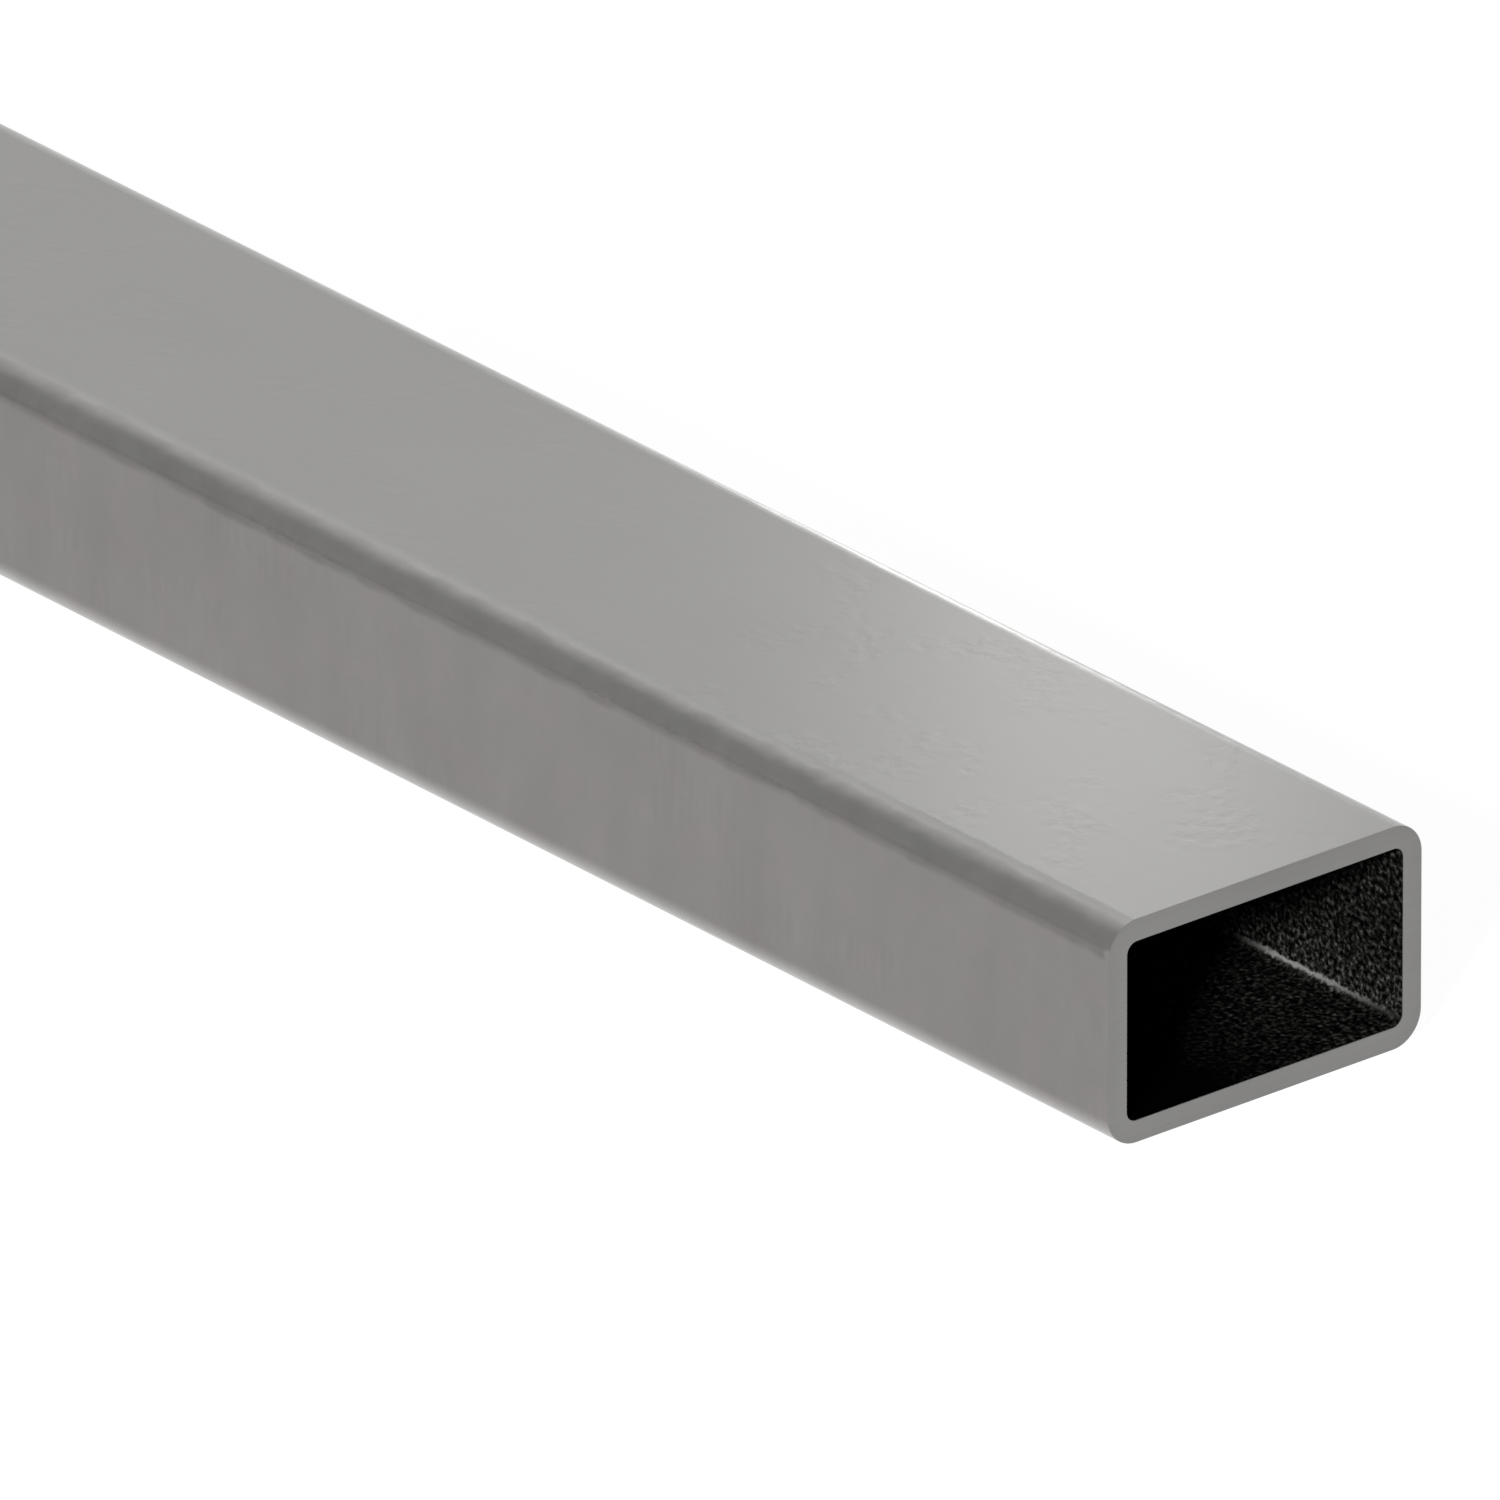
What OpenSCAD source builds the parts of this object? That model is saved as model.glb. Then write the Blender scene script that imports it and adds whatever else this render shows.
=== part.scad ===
// Rectangular steel tube, welded from strip and bent to a rounded rectangle, then cut square.
// It lies flat on a wide wall: length along X, width along Y, height along Z.
// The origin is under the middle of the tube, on the surface that it rests on.

/* [Section] */
// Outside width, across the two wide walls
section_w = 50; // [25:1:120]
// Outside height, across the two narrow walls
section_h = 30; // [20:1:80]
// Thickness of every wall
wall_t = 3; // [1.5:0.1:5]
// Radius of the four bends, measured on the inside
inner_bend_r = 1.5; // [0.5:0.1:4]

/* [Length] */
// Length between the two saw cuts
tube_l = 500; // [100:10:6000]

/* [Cut ends] */
// Chamfer that deburring leaves on the outer and inner edges of each cut
edge_break = 0.2; // [0.05:0.05:0.5]

/* [Hidden] */
$fn = 96;

// A bend keeps the wall's thickness, so its two radii share one centre.
outer_bend_r = inner_bend_r + wall_t;
bore_w = section_w - 2 * wall_t;
bore_h = section_h - 2 * wall_t;
// The bore is cut from beyond both ends, so that it leaves them cleanly.
bore_overrun = edge_break;

// Half outline of a long bar whose last stretch at each end widens by flare at 45 degrees,
// or narrows when flare is negative. It runs from one end to the other at +half.
function edge_line(l, half, flare) = [
    [-l / 2, half + flare],
    [-l / 2 + abs(flare), half],
    [l / 2 - abs(flare), half],
    [l / 2, half + flare]
];

// Whole outline of that bar: the +half edge, then the same edge mirrored and walked back.
function bar_outline(l, size, flare) = let (
    upper = edge_line(l, size / 2, flare),
    last = len(upper) - 1
) concat(upper, [for (i = [0 : last]) [upper[last - i].x, -upper[last - i].y]]);

// A slab of the bar's full height, as wide as the flat part between two bends.
module flat_part(l, height, depth, flare) {
    rotate([90, 0, 0])
        linear_extrude(depth, center = true)
            polygon(bar_outline(l, height, flare));
}

// One of the four bends: a round rod along X with the same flare at its ends.
module bend(l, r, flare) {
    rod = concat([[-l / 2, 0]], edge_line(l, r, flare), [[l / 2, 0]]);
    rotate([0, 90, 0])
        rotate_extrude()
            polygon([for (p = rod) [p.y, p.x]]);
}

// A bar along X, centred on the section, with rounded long edges.
module rounded_bar(l, w, h, r, flare) {
    flat_part(l, h, w - 2 * r, flare);
    rotate([90, 0, 0])
        flat_part(l, w, h - 2 * r, flare);
    for (y = [-1, 1], z = [-1, 1])
        translate([0, y * (w / 2 - r), z * (h / 2 - r)])
            bend(l, r, flare);
}

// The tube is one piece: the rounded bar less its bore, with every cut edge broken.
module tube() {
    color([0.56, 0.555, 0.545])
        translate([0, 0, section_h / 2])
            difference() {
                rounded_bar(tube_l, section_w, section_h, outer_bend_r, -edge_break);
                rounded_bar(tube_l + 2 * bore_overrun, bore_w, bore_h, inner_bend_r,
                            edge_break + bore_overrun);
            }
}

tube();
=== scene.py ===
import math

import bpy
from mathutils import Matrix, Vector


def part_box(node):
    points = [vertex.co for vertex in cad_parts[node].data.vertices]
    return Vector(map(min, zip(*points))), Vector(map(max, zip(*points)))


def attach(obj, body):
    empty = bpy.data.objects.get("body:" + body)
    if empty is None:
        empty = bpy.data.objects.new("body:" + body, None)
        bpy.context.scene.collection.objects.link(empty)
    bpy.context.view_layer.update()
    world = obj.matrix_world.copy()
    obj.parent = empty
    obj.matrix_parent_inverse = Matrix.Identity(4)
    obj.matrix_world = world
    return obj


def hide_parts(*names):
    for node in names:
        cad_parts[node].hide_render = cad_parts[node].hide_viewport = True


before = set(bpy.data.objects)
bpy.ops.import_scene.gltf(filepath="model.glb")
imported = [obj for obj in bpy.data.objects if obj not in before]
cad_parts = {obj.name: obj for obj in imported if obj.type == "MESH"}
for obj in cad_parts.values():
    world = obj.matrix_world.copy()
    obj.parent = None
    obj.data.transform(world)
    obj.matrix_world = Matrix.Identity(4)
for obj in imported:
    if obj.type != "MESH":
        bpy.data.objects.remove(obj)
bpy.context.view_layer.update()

tubeLow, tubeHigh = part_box("tube")
tubeSize = tubeHigh - tubeLow
tubeMiddle = (tubeLow + tubeHigh) / 2
print("frame loaded, tube measures", [round(side, 4) for side in tubeSize])

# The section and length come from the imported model; these are the sizes that its box doesn't show.
tubeShape = {
    "wall": 0.003,
    "innerBend": 0.0015,
    "edgeBreak": 0.0002,
    "bendSteps": 20,  # points round each bend
    "edgeSteps": 3,  # points round each broken edge
}
outerBend = tubeShape["wall"] + tubeShape["innerBend"]


# Makes a node and fills its inputs: a plain value is typed in, a socket is joined.
def addNode(tree, kind, inputs=None, **settings):
    node = tree.nodes.new(kind)
    for name, value in settings.items():
        setattr(node, name, value)
    for key, value in (inputs or {}).items():
        if isinstance(value, bpy.types.NodeSocket):
            tree.links.new(value, node.inputs[key])
        else:
            node.inputs[key].default_value = value
    return node


def newObject(name, data):
    made = bpy.data.objects.new(name, data)
    bpy.context.scene.collection.objects.link(made)
    return made


def mathOf(tree, operation, *values):
    return addNode(tree, "ShaderNodeMath", dict(enumerate(values)), operation=operation).outputs[0]


def partsOf(tree, at):
    return addNode(tree, "ShaderNodeSeparateXYZ", {0: at}).outputs


# The rounded rectangle that runs halfway through the wall.
def middleLine(tree, asked):
    ring = addNode(tree, "GeometryNodeCurvePrimitiveQuadrilateral", {
        "Width": mathOf(tree, "SUBTRACT", asked["Width"], asked["Wall"]),
        "Height": mathOf(tree, "SUBTRACT", asked["Height"], asked["Wall"]),
    })
    return addNode(tree, "GeometryNodeFilletCurve", {
        "Curve": ring.outputs[0],
        "Count": asked["Bend Steps"],
        "Radius": mathOf(tree, "MULTIPLY_ADD", asked["Wall"], 0.5, asked["Inner Bend"]),
    }, mode="POLY").outputs[0]


# The wall's long section with its edges broken. Its points remember their place across and along it.
def wallSection(tree, asked):
    slab = addNode(tree, "GeometryNodeCurvePrimitiveQuadrilateral",
                   {"Width": asked["Wall"], "Height": asked["Length"]})
    broken = addNode(tree, "GeometryNodeFilletCurve", {
        "Curve": slab.outputs[0],
        "Count": asked["Edge Steps"],
        "Radius": asked["Edge Break"],
    }, mode="POLY")
    place = partsOf(tree, addNode(tree, "GeometryNodeInputPosition").outputs[0])
    marked = addNode(tree, "GeometryNodeCaptureAttribute", {"Geometry": broken.outputs[0]})
    marked.capture_items.new("FLOAT", "Across")
    marked.capture_items.new("FLOAT", "Along")
    tree.links.new(place["X"], marked.inputs["Across"])
    tree.links.new(place["Y"], marked.inputs["Along"])
    return marked.outputs


# Sweeps the section round the middle line, and lays the tube along X with its underside at 0.
def sweptTubeTree():
    tree = bpy.data.node_groups.new("sweptTube", "GeometryNodeTree")
    tree.interface.new_socket("Tube", in_out="OUTPUT", socket_type="NodeSocketGeometry")
    for kind, names in (
        ("NodeSocketFloat", ("Length", "Width", "Height", "Wall", "Inner Bend", "Edge Break")),
        ("NodeSocketInt", ("Bend Steps", "Edge Steps")),
        ("NodeSocketMaterial", ("Skin", "Cut", "Bore")),
    ):
        for name in names:
            tree.interface.new_socket(name, in_out="INPUT", socket_type=kind)
    asked = addNode(tree, "NodeGroupInput").outputs

    section = wallSection(tree, asked)
    swept = addNode(tree, "GeometryNodeCurveToMesh",
                    {"Curve": middleLine(tree, asked), "Profile Curve": section["Geometry"]})
    halfWall = mathOf(tree, "MULTIPLY", asked["Wall"], 0.5)
    kept = addNode(tree, "GeometryNodeStoreNamedAttribute", {
        "Geometry": swept.outputs[0],
        "Name": "acrossWall",  # from -1 on the bore to 1 on the outside
        "Value": mathOf(tree, "DIVIDE", section["Across"], halfWall),
    }, data_type="FLOAT", domain="POINT")
    halfHeight = mathOf(tree, "MULTIPLY", asked["Height"], 0.5)
    laidDown = addNode(tree, "GeometryNodeTransform", {
        "Geometry": kept.outputs[0],
        "Rotation": (math.pi / 2, 0, math.pi / 2),
        "Translation": addNode(tree, "ShaderNodeCombineXYZ", {"Z": halfHeight}).outputs[0],
    })
    smooth = addNode(tree, "GeometryNodeSetShadeSmooth", {"Geometry": laidDown.outputs[0]})

    # Faces beyond the flat wall are the cut, faces on the wall's inner side are the bore.
    flatEnd = mathOf(tree, "SUBTRACT", mathOf(tree, "MULTIPLY", asked["Length"], 0.5), asked["Edge Break"])
    isCut = mathOf(tree, "GREATER_THAN", mathOf(tree, "ABSOLUTE", section["Along"]), flatEnd)
    isInner = mathOf(tree, "LESS_THAN", section["Across"], 0.0)
    shape = smooth.outputs[0]
    for material, chosen in (("Skin", True), ("Bore", isInner), ("Cut", isCut)):
        finished = addNode(tree, "GeometryNodeSetMaterial",
                           {"Geometry": shape, "Selection": chosen, "Material": asked[material]})
        shape = finished.outputs[0]
    whole = addNode(tree, "GeometryNodeRealizeInstances", {"Geometry": shape})
    addNode(tree, "NodeGroupOutput", {"Tube": whole.outputs[0]})
    return tree


# A new material: its tree, its shader and the tube's own coordinates in metres.
def startMaterial(name, fixed):
    material = bpy.data.materials.new(name)
    material.use_nodes = True
    tree = material.node_tree
    shader = tree.nodes["Principled BSDF"]
    for key, value in fixed.items():
        shader.inputs[key].default_value = value
    coordinates = addNode(tree, "ShaderNodeTexCoord").outputs["Object"]
    return material, tree, shader, coordinates


# Noise between 0 and 1, with grains of the given size in metres along X, Y and Z.
def noiseOf(tree, at, grains, detail=3.0, shift=0.0, roughness=0.55):
    scale = tuple(1 / grain for grain in grains)
    spot = addNode(tree, "ShaderNodeMapping", {"Vector": at, "Scale": scale, "Location": (shift,) * 3})
    return addNode(tree, "ShaderNodeTexNoise", {
        "Vector": spot.outputs[0],
        "Scale": 1.0,
        "Detail": detail,
        "Roughness": roughness,
    }).outputs["Fac"]


noiseMiddle = 0.5
noiseSpan = (0.3, 0.7)  # nearly all of a noise lies between these


def rangeOf(tree, value, fromLow, fromHigh, toLow=0.0, toHigh=1.0, kind="LINEAR"):
    limits = {"Value": value, "From Min": fromLow, "From Max": fromHigh, "To Min": toLow, "To Max": toHigh}
    return addNode(tree, "ShaderNodeMapRange", limits, interpolation_type=kind).outputs["Result"]


def productOf(tree, first, *others):
    for other in others:
        first = mathOf(tree, "MULTIPLY", first, other)
    return first


# A noise's distance from its middle.
def swayOf(tree, noise):
    return mathOf(tree, "SUBTRACT", noise, noiseMiddle)


# The noise where the mask is 1, and its plain middle where the mask is 0.
def shownWhere(tree, mask, noise):
    return mathOf(tree, "MULTIPLY_ADD", swayOf(tree, noise), mask, noiseMiddle)


# A factor that swings round 1 with a noise.
def swingOf(tree, noise, amount):
    return rangeOf(tree, noise, *noiseSpan, 1 - amount, 1 + amount)


# Inputs 6 and 7 and output 2 of this node are its colours.
def mixColours(tree, factor, first, second):
    return addNode(tree, "ShaderNodeMix", {0: factor, 6: first, 7: second}, data_type="RGBA").outputs[2]


# A colour times a plain factor, which is the node's input 3.
def toned(tree, colour, factor):
    return addNode(tree, "ShaderNodeVectorMath", {0: colour, 3: factor}, operation="SCALE").outputs[0]


# Bump from a height in metres, or from a plain pattern with its depth.
def bumpOf(tree, height, depth=1.0):
    return addNode(tree, "ShaderNodeBump", {"Height": height, "Distance": depth}).outputs["Normal"]


# How far a point lies from the tube's middle, to either side along the axis.
def fromMiddle(tree, at, axis):
    offset = mathOf(tree, "SUBTRACT", partsOf(tree, at)[axis], tubeMiddle["XYZ".index(axis)])
    return mathOf(tree, "ABSOLUTE", offset)


# How far a point lies beyond the bends' centres along the axis.
def pastBends(tree, at, axis):
    centres = tubeSize["XYZ".index(axis)] / 2 - outerBend
    return mathOf(tree, "SUBTRACT", fromMiddle(tree, at, axis), centres)


# How far a point lies inwards from the nearer cut.
def inwardsFromCut(tree, at):
    return mathOf(tree, "SUBTRACT", tubeSize.x / 2, fromMiddle(tree, at, "X"))


# Shares of a bend, counted from its centre towards the tube's outside, as distances in metres.
def ofBend(shares):
    return tuple(outerBend * share for share in shares)


# In all the looks below, sizes are in metres, grains are a pattern's own sizes along X, Y and Z,
# and a swing is the share by which a pattern changes the tone.

# The bends are rubbed smoother by the rolls, carry a painted sheen that makes them brighter, and aren't
# quite even.
bendLook = {
    "paintedSheen": 1.36,  # painted sheen: times as bright as the walls
    "roughness": 0.24,
    "wideWallShare": (0, 0.385),  # the painted sheen grows between these, from each wall
    "wideWallPower": 0.9,
    "narrowWallShare": (0.1, 0.42),
    "patches": {"grains": (0.004, 0.003, 0.003), "shift": 6.6},
    "patchSwing": 0.04,
    "ripples": {"grains": (0.005, 0.004, 0.004), "detail": 1.0, "shift": 2.9},
    "rippleDepth": 0.0002,
    "rippleShare": (0.65, 0.92),  # the ripples die out between these
}


def onBend(tree, at):
    pastWideWall = rangeOf(tree, pastBends(tree, at, "Y"), *ofBend(bendLook["wideWallShare"]))
    pastNarrowWall = rangeOf(tree, pastBends(tree, at, "Z"), *ofBend(bendLook["narrowWallShare"]))
    curved = mathOf(tree, "POWER", pastWideWall, bendLook["wideWallPower"])
    return mathOf(tree, "MINIMUM", curved, pastNarrowWall)


# A painted dark reflection lies as a band on each upper bend, darkening the skin's colour. It stops short of
# the cut, and droops before it does.
paintedBandLook = {
    "dark": 0.745,
    "lowEdge": (0.00455, 0.0034),  # depths below the tube's top
    "highEdge": (0.0034, 0.0027),
    "ragged": {"grains": (0.006, 0.03, 0.03), "detail": 1.5, "shift": 5.9},
    "raggedHeight": 0.0015,
    "endFade": (0.0006, 0.0014),  # distances from the cut
    "droop": 0.0006,
    "droopLength": 0.004,
}


def paintedDarkBand(tree, at):
    height = partsOf(tree, at)["Z"]
    inwards = inwardsFromCut(tree, at)
    ragged = swayOf(tree, noiseOf(tree, at, **paintedBandLook["ragged"]))
    raggedHeight = mathOf(tree, "MULTIPLY_ADD", ragged, paintedBandLook["raggedHeight"], height)
    droop = rangeOf(tree, inwards, 0.0, paintedBandLook["droopLength"], paintedBandLook["droop"], 0.0)
    lowFrom, lowTo = (tubeHigh.z - depth for depth in paintedBandLook["lowEdge"])
    highFrom, highTo = (tubeHigh.z - depth for depth in paintedBandLook["highEdge"])
    mask = productOf(
        tree,
        rangeOf(tree, mathOf(tree, "ADD", raggedHeight, droop), lowFrom, lowTo, kind="SMOOTHSTEP"),
        rangeOf(tree, height, highFrom, highTo, 1, 0, kind="SMOOTHSTEP"),
        rangeOf(tree, inwards, *paintedBandLook["endFade"]),
    )
    return rangeOf(tree, mask, 0, 1, 1, paintedBandLook["dark"])


# Shallow pits lie in patches, and hardly show between them.
pitLook = {
    "pits": {"grains": (0.0022, 0.0022, 0.0022), "shift": 9.2},
    "depth": 0.000075,
    "patches": {"grains": (0.012, 0.012, 0.012), "shift": 111.3},
    "patchRange": (0.52, 0.62),
    "between": 0.12,  # share of their depth
}


def skinRelief(tree, at, bend):
    pits = swayOf(tree, noiseOf(tree, at, **pitLook["pits"]))
    patches = noiseOf(tree, at, **pitLook["patches"])
    pitted = rangeOf(tree, patches, *pitLook["patchRange"], pitLook["between"], 1)
    ripples = swayOf(tree, noiseOf(tree, at, **bendLook["ripples"]))
    besideWideWall = rangeOf(tree, pastBends(tree, at, "Y"), *ofBend(bendLook["rippleShare"]), 1, 0)
    return mathOf(
        tree, "ADD",
        productOf(tree, pits, pitted, pitLook["depth"]),
        productOf(tree, ripples, bend, besideWideWall, bendLook["rippleDepth"]),
    )


skinLook = {
    "grey": (0.235, 0.232, 0.2255, 1),
    "pinkish": (0.2415, 0.229, 0.2235, 1),
    "mottles": {"grains": (0.006, 0.006, 0.006), "shift": 3.1},  # pinkish spots on the narrow walls
    "mottleRange": (0.47, 0.58),
    "clouds": {"grains": (0.03, 0.018, 0.018), "detail": 4.0},
    "cloudSwing": 0.026,
    "roughness": 0.3,
    "roughnessSwing": 0.04,
    "rollLines": {"grains": (0.4, 0.0012, 0.0012), "shift": 1.7},
    "rollLineSwing": 0.006,
    "narrowWall": (0.0015, 0.0002),  # depths between which the narrow walls' own patterns fade in
    "streaks": {"grains": (0.009, 0.02, 0.02), "detail": 4.0, "shift": 7.3},
    "streakSwing": 0.045,
    "scratches": {"grains": (0.0009, 0.008, 0.008), "detail": 2.0, "shift": 4.7},
    "scratchSwing": 0.035,
    "scratched": {"grains": (0.02, 0.01, 0.01), "shift": 0.9},  # the scratches come here and there
    "scratchedRange": (0.5, 0.6),
}


def onNarrowWall(tree, at):
    low, high = (outerBend - depth for depth in skinLook["narrowWall"])
    return rangeOf(tree, pastBends(tree, at, "Y"), low, high)


def rolledSkin():
    material, tree, shader, at = startMaterial("rolledSkin", {"Metallic": 1.0})
    narrowWall = onNarrowWall(tree, at)
    bend = onBend(tree, at)
    mottles = rangeOf(tree, noiseOf(tree, at, **skinLook["mottles"]), *skinLook["mottleRange"])
    pinkish = productOf(tree, mottles, narrowWall)
    colour = mixColours(tree, pinkish, skinLook["grey"], skinLook["pinkish"])

    clouds = noiseOf(tree, at, **skinLook["clouds"])
    streaks = shownWhere(tree, narrowWall, noiseOf(tree, at, **skinLook["streaks"]))
    scratched = rangeOf(tree, noiseOf(tree, at, **skinLook["scratched"]), *skinLook["scratchedRange"])
    scratchedWall = productOf(tree, scratched, narrowWall)
    scratches = shownWhere(tree, scratchedWall, noiseOf(tree, at, **skinLook["scratches"]))
    rollLines = noiseOf(tree, at, **skinLook["rollLines"])
    bendPatches = shownWhere(tree, bend, noiseOf(tree, at, **bendLook["patches"]))
    tone = productOf(
        tree,
        swingOf(tree, clouds, skinLook["cloudSwing"]),
        swingOf(tree, streaks, skinLook["streakSwing"]),
        swingOf(tree, scratches, skinLook["scratchSwing"]),
        swingOf(tree, rollLines, skinLook["rollLineSwing"]),
        swingOf(tree, bendPatches, bendLook["patchSwing"]),
        # painted sheen, brightening the bends' colour
        rangeOf(tree, bend, 0, 1, 1, bendLook["paintedSheen"]),
        # painted reflection: a dark band on the upper bends
        paintedDarkBand(tree, at),
    )
    tree.links.new(toned(tree, colour, tone), shader.inputs["Base Color"])

    flatRoughness = productOf(tree, swingOf(tree, clouds, skinLook["roughnessSwing"]), skinLook["roughness"])
    smoother = bendLook["roughness"] - skinLook["roughness"]
    roughness = mathOf(tree, "MULTIPLY_ADD", bend, smoother, flatRoughness)
    tree.links.new(roughness, shader.inputs["Roughness"])
    tree.links.new(bumpOf(tree, skinRelief(tree, at, bend)), shader.inputs["Normal"])
    return material


cutLook = {
    "grey": (0.241, 0.2385, 0.234, 1),
    "dull": (0.23, 0.2275, 0.2235, 1),
    "clouds": {"grains": (0.012, 0.012, 0.012), "shift": 4.4},
    "cloudRange": (0.35, 0.65),
    "roughness": 0.42,
    "sawLines": {"grains": (0.01, 0.02, 0.00025), "detail": 2.0, "shift": 2.2},
    "sawLineSwing": 0.03,
    "sawDepth": 0.000004,
    "innerRimHighlight": 1.03,  # painted highlight on the inner rim and painted shade on the outer: the tone changes a little across the wall
    "outerRimShade": 0.97,
    "lowSideLift": 1.055,  # and is lighter on the wall at the tube's low-Y side
    "lowSideWidth": (0.001, 0.02),  # distances from that side, between which it fades out
}


def sawnCut():
    material, tree, shader, at = startMaterial(
        "sawnCut", {"Metallic": 1.0, "Roughness": cutLook["roughness"]})
    clouds = rangeOf(tree, noiseOf(tree, at, **cutLook["clouds"]), *cutLook["cloudRange"])
    colour = mixColours(tree, clouds, cutLook["grey"], cutLook["dull"])
    sawLines = noiseOf(tree, at, **cutLook["sawLines"])
    acrossWall = addNode(tree, "ShaderNodeAttribute", attribute_name="acrossWall").outputs["Fac"]
    liftFrom, liftTo = (tubeLow.y + width for width in cutLook["lowSideWidth"])
    tone = productOf(
        tree,
        swingOf(tree, sawLines, cutLook["sawLineSwing"]),
        rangeOf(tree, acrossWall, -1, 1, cutLook["innerRimHighlight"], cutLook["outerRimShade"]),
        rangeOf(tree, partsOf(tree, at)["Y"], liftFrom, liftTo, cutLook["lowSideLift"], 1.0),
    )
    tree.links.new(toned(tree, colour, tone), shader.inputs["Base Color"])
    tree.links.new(bumpOf(tree, sawLines, cutLook["sawDepth"]), shader.inputs["Normal"])
    return material


boreLook = {
    "scale": (0.001, 0.001, 0.001, 1),
    "roughness": 0.7,
    "speckle": {"grains": (0.0007, 0.0007, 0.0007), "detail": 4.0, "shift": 6.5},
    "speckleRange": (0.3, 0.74),
    "sharpness": 3.6,
    "grain": (0.122, 0.122, 0.1125, 1),
    "grainDepth": 0.00015,
    "paintedShadeRange": (-0.007, 0.013),  # painted shade: fewer grains show on the left and more on the right, as one looks into either mouth
    "paintedHighlight": 2.2,  # a painted highlight: more grains show low on the narrow walls
    "highlightPastBend": 0.0005,
    "highlightDepth": (-0.009, 0.0005),  # depths below the lower bends' centres
}

# A painted highlight lies as a line where each narrow wall meets its lower bend, and runs a short way in
# from the mouth.
highlightLineLook = {
    "highlightTone": (0.29, 0.29, 0.282, 1),
    "topDepth": 0.0003,  # depths below the lower bends' centres
    "lowDepth": 0.0008,
    "edgeFade": 0.00015,
    "ragged": 0.0012,
    "bendShare": 0.6,
    "mouthFade": (0, 0.02),
    "atMouth": 0.04,
    "endFade": (0.024, 0.032),
}


def paintedHighlightLine(tree, at, pastY, belowBends, speckle):
    ragged = mathOf(tree, "MULTIPLY_ADD", swayOf(tree, speckle), highlightLineLook["ragged"], belowBends)
    inwards = inwardsFromCut(tree, at)
    top, low, fade = highlightLineLook["topDepth"], highlightLineLook["lowDepth"], highlightLineLook["edgeFade"]
    return productOf(
        tree,
        rangeOf(tree, pastY, 0, tubeShape["innerBend"] * highlightLineLook["bendShare"]),
        rangeOf(tree, ragged, top - fade, top + fade),
        rangeOf(tree, ragged, low - fade, low + fade, 1, 0),
        rangeOf(tree, inwards, *highlightLineLook["mouthFade"], highlightLineLook["atMouth"], 1, kind="SMOOTHSTEP"),
        rangeOf(tree, inwards, *highlightLineLook["endFade"], 1, 0),
    )


def boreScale():
    material, tree, shader, at = startMaterial(
        "boreScale", {"Roughness": boreLook["roughness"], "Specular IOR Level": 0.0})
    parts = partsOf(tree, at)
    pastY = pastBends(tree, at, "Y")
    belowBends = mathOf(tree, "SUBTRACT", tubeLow.z + outerBend, parts["Z"])
    speckle = noiseOf(tree, at, **boreLook["speckle"])
    speckleTone = rangeOf(tree, speckle, *boreLook["speckleRange"])
    grains = mathOf(tree, "POWER", speckleTone, boreLook["sharpness"])
    paintedShadeSide = mathOf(tree, "MULTIPLY", parts["Y"], mathOf(tree, "SIGN", parts["X"]))
    # painted highlight low on the narrow walls, near the lower bends
    paintedHighlight = productOf(
        tree,
        rangeOf(tree, pastY, boreLook["highlightPastBend"], tubeShape["innerBend"]),
        rangeOf(tree, belowBends, *boreLook["highlightDepth"], kind="SMOOTHSTEP"),
    )
    shown = productOf(
        tree,
        grains,
        # painted shade towards the left of either mouth
        rangeOf(tree, paintedShadeSide, *boreLook["paintedShadeRange"]),
        rangeOf(tree, paintedHighlight, 0, 1, 1, boreLook["paintedHighlight"]),
    )
    walls = mixColours(tree, shown, boreLook["scale"], boreLook["grain"])
    # painted highlight along the lower inner bends near each mouth
    highlightLine = paintedHighlightLine(tree, at, pastY, belowBends, speckle)
    tree.links.new(mixColours(tree, highlightLine, walls, highlightLineLook["highlightTone"]), shader.inputs["Base Color"])
    tree.links.new(bumpOf(tree, speckle, boreLook["grainDepth"]), shader.inputs["Normal"])
    return material


def makeTube():
    tree = sweptTubeTree()
    values = {
        "Length": tubeSize.x,
        "Width": tubeSize.y,
        "Height": tubeSize.z,
        "Wall": tubeShape["wall"],
        "Inner Bend": tubeShape["innerBend"],
        "Edge Break": tubeShape["edgeBreak"],
        "Bend Steps": tubeShape["bendSteps"],
        "Edge Steps": tubeShape["edgeSteps"],
        "Skin": rolledSkin(),
        "Cut": sawnCut(),
        "Bore": boreScale(),
    }
    tube = newObject("steelTube", bpy.data.meshes.new("steelTube"))
    sweep = tube.modifiers.new("sweep", "NODES")
    sweep.node_group = tree
    for item in tree.interface.items_tree:
        if item.in_out == "INPUT":
            sweep[item.identifier] = values[item.name]
    depsgraph = bpy.context.evaluated_depsgraph_get()
    swept = bpy.data.meshes.new_from_object(tube.evaluated_get(depsgraph))
    tube.modifiers.remove(sweep)
    tube.data = swept
    tube.modifiers.new("flatWallsStayFlat", "WEIGHTED_NORMAL")
    return tube


tube = makeTube()
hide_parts("tube")
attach(tube, "root")
print("tube swept,", len(tube.data.polygons), "faces,", [finish.name for finish in tube.data.materials])


# The photo's view: parallel to the eye, so the lens is very long. Pixels count from the top left corner.
photoView = {
    "azimuth": 50.03,
    "elevation": 24.96,
    "imageSide": 1500,
    "pixelsPerMetre": 8220,
    "cutPixel": (1265.7, 984.9),  # where the middle of the cut end is seen
    "sensor": 36,
    "lens": 1620,
    "nearest": 0.1,  # shares of the camera's distance between which things are seen
    "farthest": 10,
}


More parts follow.
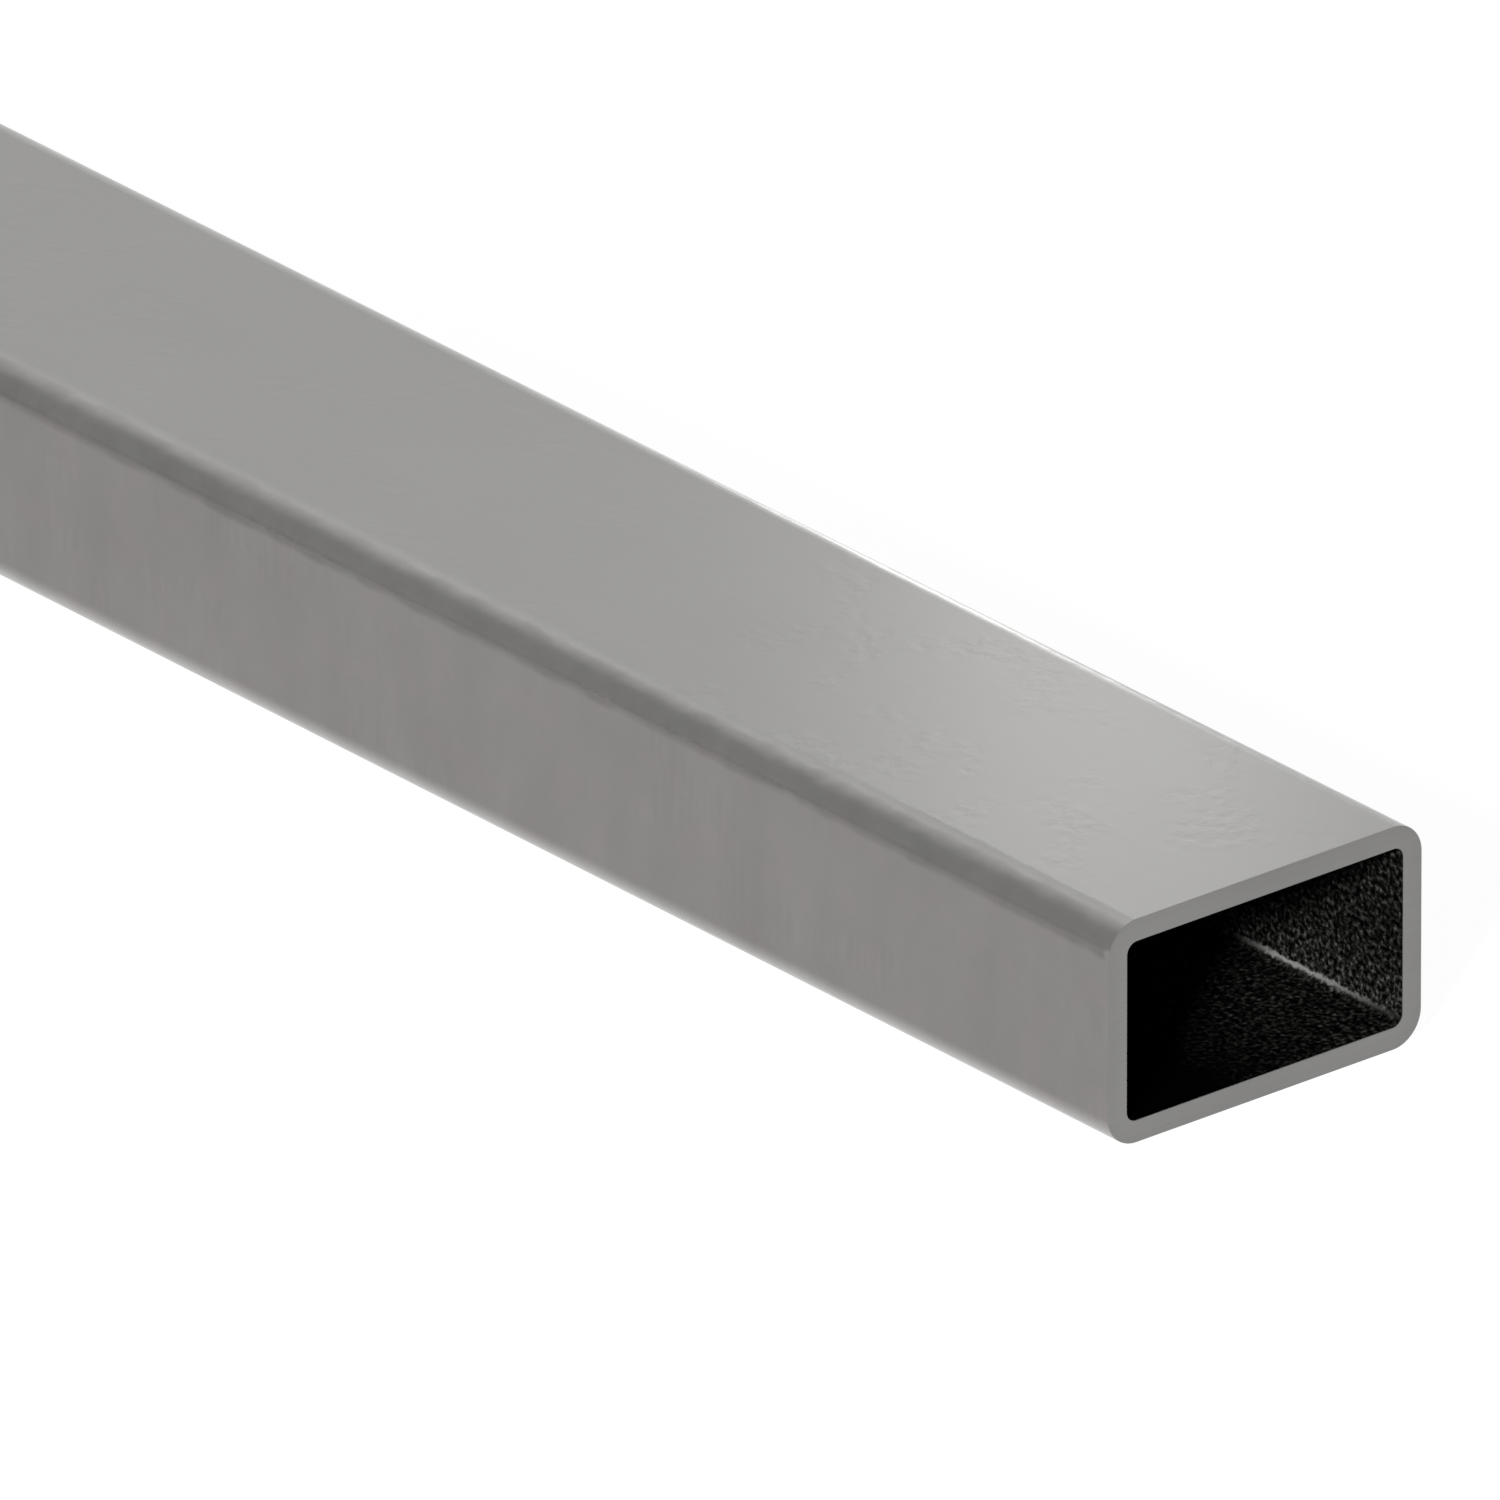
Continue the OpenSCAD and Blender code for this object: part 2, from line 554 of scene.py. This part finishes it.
def photoCamera():
    turn, tilt = math.radians(photoView["azimuth"]), math.radians(photoView["elevation"])
    back = Vector((math.sin(turn) * math.cos(tilt), -math.cos(turn) * math.cos(tilt), math.sin(tilt)))
    right = Vector((math.cos(turn), math.sin(turn), 0))
    up = back.cross(right)
    cutMiddle = Vector((tubeHigh.x, tubeMiddle.y, tubeMiddle.z))
    half = photoView["imageSide"] / 2
    across = (photoView["cutPixel"][0] - half) / photoView["pixelsPerMetre"]
    down = (photoView["cutPixel"][1] - half) / photoView["pixelsPerMetre"]
    seenSide = photoView["imageSide"] / photoView["pixelsPerMetre"]
    distance = seenSide * photoView["lens"] / photoView["sensor"]
    data = bpy.data.cameras.new("photoCamera")
    data.lens = photoView["lens"]
    data.sensor_width = photoView["sensor"]
    data.clip_start = distance * photoView["nearest"]
    data.clip_end = distance * photoView["farthest"]
    camera = newObject("photoCamera", data)
    camera.location = cutMiddle - right * across + up * down + back * distance
    camera.rotation_euler = (-back).to_track_quat("-Z", "Y").to_euler()
    bpy.context.scene.camera = camera


photoCamera()
print("camera placed")


# The camera and the metal see a bright room, while less light than that falls on things.
roomLight = {
    "ambient": 0.15,
    "floorSide": 60,
    "floorGlow": 0.94,
    "floorSeen": 0.17,  # the floor's grey where it is seen, under its glow
    "floorPale": 0.8,  # and for the light that it throws back
}


# 1 for what the camera, a mirror or a glass sees, 0 for light that falls on things.
def seenDirectly(tree):
    path = addNode(tree, "ShaderNodeLightPath").outputs
    eyeOrMetal = mathOf(tree, "MAXIMUM", path["Is Camera Ray"], path["Is Glossy Ray"])
    return mathOf(tree, "MAXIMUM", eyeOrMetal, path["Is Transmission Ray"])


def greyOf(level):
    return (level, level, level, 1)


def whiteRoom():
    world = bpy.data.worlds.new("whiteRoom")
    bpy.context.scene.world = world
    world.use_nodes = True
    tree = world.node_tree
    background = tree.nodes["Background"]
    strength = rangeOf(tree, seenDirectly(tree), 0, 1, roomLight["ambient"], 1.0)
    tree.links.new(strength, background.inputs["Strength"])
    background.inputs["Color"].default_value = greyOf(1)


# A material of the set, with an empty tree.
def stageMaterial(name):
    material = bpy.data.materials.new(name)
    material.use_nodes = True
    material.node_tree.nodes.clear()
    return material, material.node_tree


# A flat sheet of the set: four corners and a material, never part of the tube.
def stageSheet(name, corners, material):
    mesh = bpy.data.meshes.new(name)
    mesh.from_pydata(corners, [], [(0, 1, 2, 3)])
    mesh.materials.append(material)
    sheet = newObject(name, mesh)
    return sheet


def whiteFloor():
    material, tree = stageMaterial("paleFloor")
    seen = seenDirectly(tree)
    colour = mixColours(tree, seen, greyOf(roomLight["floorPale"]), greyOf(roomLight["floorSeen"]))
    lit = addNode(tree, "ShaderNodeBsdfDiffuse", {"Color": colour})
    glow = addNode(tree, "ShaderNodeEmission", {"Strength": productOf(tree, seen, roomLight["floorGlow"])})
    both = addNode(tree, "ShaderNodeAddShader", {0: lit.outputs[0], 1: glow.outputs[0]})
    addNode(tree, "ShaderNodeOutputMaterial", {"Surface": both.outputs[0]})
    half = roomLight["floorSide"] / 2
    corners = [(-half, -half, 0), (half, -half, 0), (half, half, 0), (-half, half, 0)]
    stageSheet("floor", corners, material)


# A card beyond the tube's far end, seen only in the metal: white overhead, it turns grey towards
# the floor, as seen from the near upper bend, which it darkens.
greyCard = {
    "x": -0.32,
    "innerY": 0.1,
    "outerY": -1.4,
    "height": 1.4,
    "grey": 0.532,
    "seenFrom": (-0.025, 0.03),  # the bend's Y and Z
    "slopes": (-0.38, 0.77),  # way out for each metre up, where the grey begins and is full
    "leastRise": 0.001,
}


def standCard():
    material, tree = stageMaterial("greyCard")
    parts = partsOf(tree, addNode(tree, "ShaderNodeTexCoord").outputs["Object"])
    seenY, seenZ = greyCard["seenFrom"]
    out = mathOf(tree, "SUBTRACT", seenY, parts["Y"])
    rise = mathOf(tree, "MAXIMUM", mathOf(tree, "SUBTRACT", parts["Z"], seenZ), greyCard["leastRise"])
    slope = mathOf(tree, "DIVIDE", out, rise)
    shade = rangeOf(tree, slope, *greyCard["slopes"], 1, greyCard["grey"], kind="SMOOTHSTEP")
    glow = addNode(tree, "ShaderNodeEmission", {"Strength": shade})
    addNode(tree, "ShaderNodeOutputMaterial", {"Surface": glow.outputs[0]})
    x, innerY, outerY, top = greyCard["x"], greyCard["innerY"], greyCard["outerY"], greyCard["height"]
    corners = [(x, innerY, 0), (x, outerY, 0), (x, outerY, top), (x, innerY, top)]
    card = stageSheet("greyCard", corners, material)
    card.visible_camera = False
    card.visible_diffuse = False
    card.visible_transmission = False
    card.visible_shadow = False


# Each lamp is placed from the spot it lights, by a direction and a distance in metres.
lamps = {
    # the patch of sheen on the top wall
    "sheenLamp": {"aim": (0.1975, 0.0215, 0.03), "toward": (-0.6948, 0.5824, 0.422), "distance": 0.38,
                  "wide": 0.045, "tall": 0.045, "power": 0.0134},
    # the bright far edge beside it
    "rimLamp": {"aim": (0.165, 0.0235, 0.0285), "toward": (-0.6948, 0.7083, 0.09), "distance": 0.4,
                "wide": 0.045, "tall": 0.125, "power": 0.0061, "fan": 76},
    # a soft glow all along the top wall
    "skyLamp": {"aim": (0.0, 0.0, 0.03), "toward": (-0.6948, 0.4428, 0.5667), "distance": 3.0,
                "wide": 2.6, "tall": 2.6, "power": 4.4},
    # light into each mouth, which isn't mirrored in the metal
    "keyLamp": {"aim": (0.24, 0.0, 0.015), "toward": (0.5, -0.765, 0.41), "distance": 1.5,
                "wide": 0.2, "tall": 0.2, "power": 22.0, "inMetal": False},
    "rearLamp": {"aim": (-0.24, 0.0, 0.015), "toward": (-0.5, 0.765, 0.41), "distance": 0.35,
                 "wide": 0.05, "tall": 0.05, "power": 1.2, "inMetal": False},
}


def hangLamp(name, aim, toward, distance, wide, tall, power, fan=180, inMetal=True):
    data = bpy.data.lights.new(name, "AREA")
    data.shape = "RECTANGLE"
    data.size = wide
    data.size_y = tall
    data.energy = power
    data.spread = math.radians(fan)
    lamp = newObject(name, data)
    direction = Vector(toward).normalized()
    lamp.location = Vector(aim) + direction * distance
    lamp.rotation_euler = direction.to_track_quat("Z", "Y").to_euler()
    lamp.visible_camera = False
    lamp.visible_glossy = inMetal


whiteRoom()
whiteFloor()
standCard()
for lampName, lampValues in lamps.items():
    hangLamp(lampName, **lampValues)
print("room, floor, card and lamps are up")

bpy.context.scene.view_settings.view_transform = "Standard"
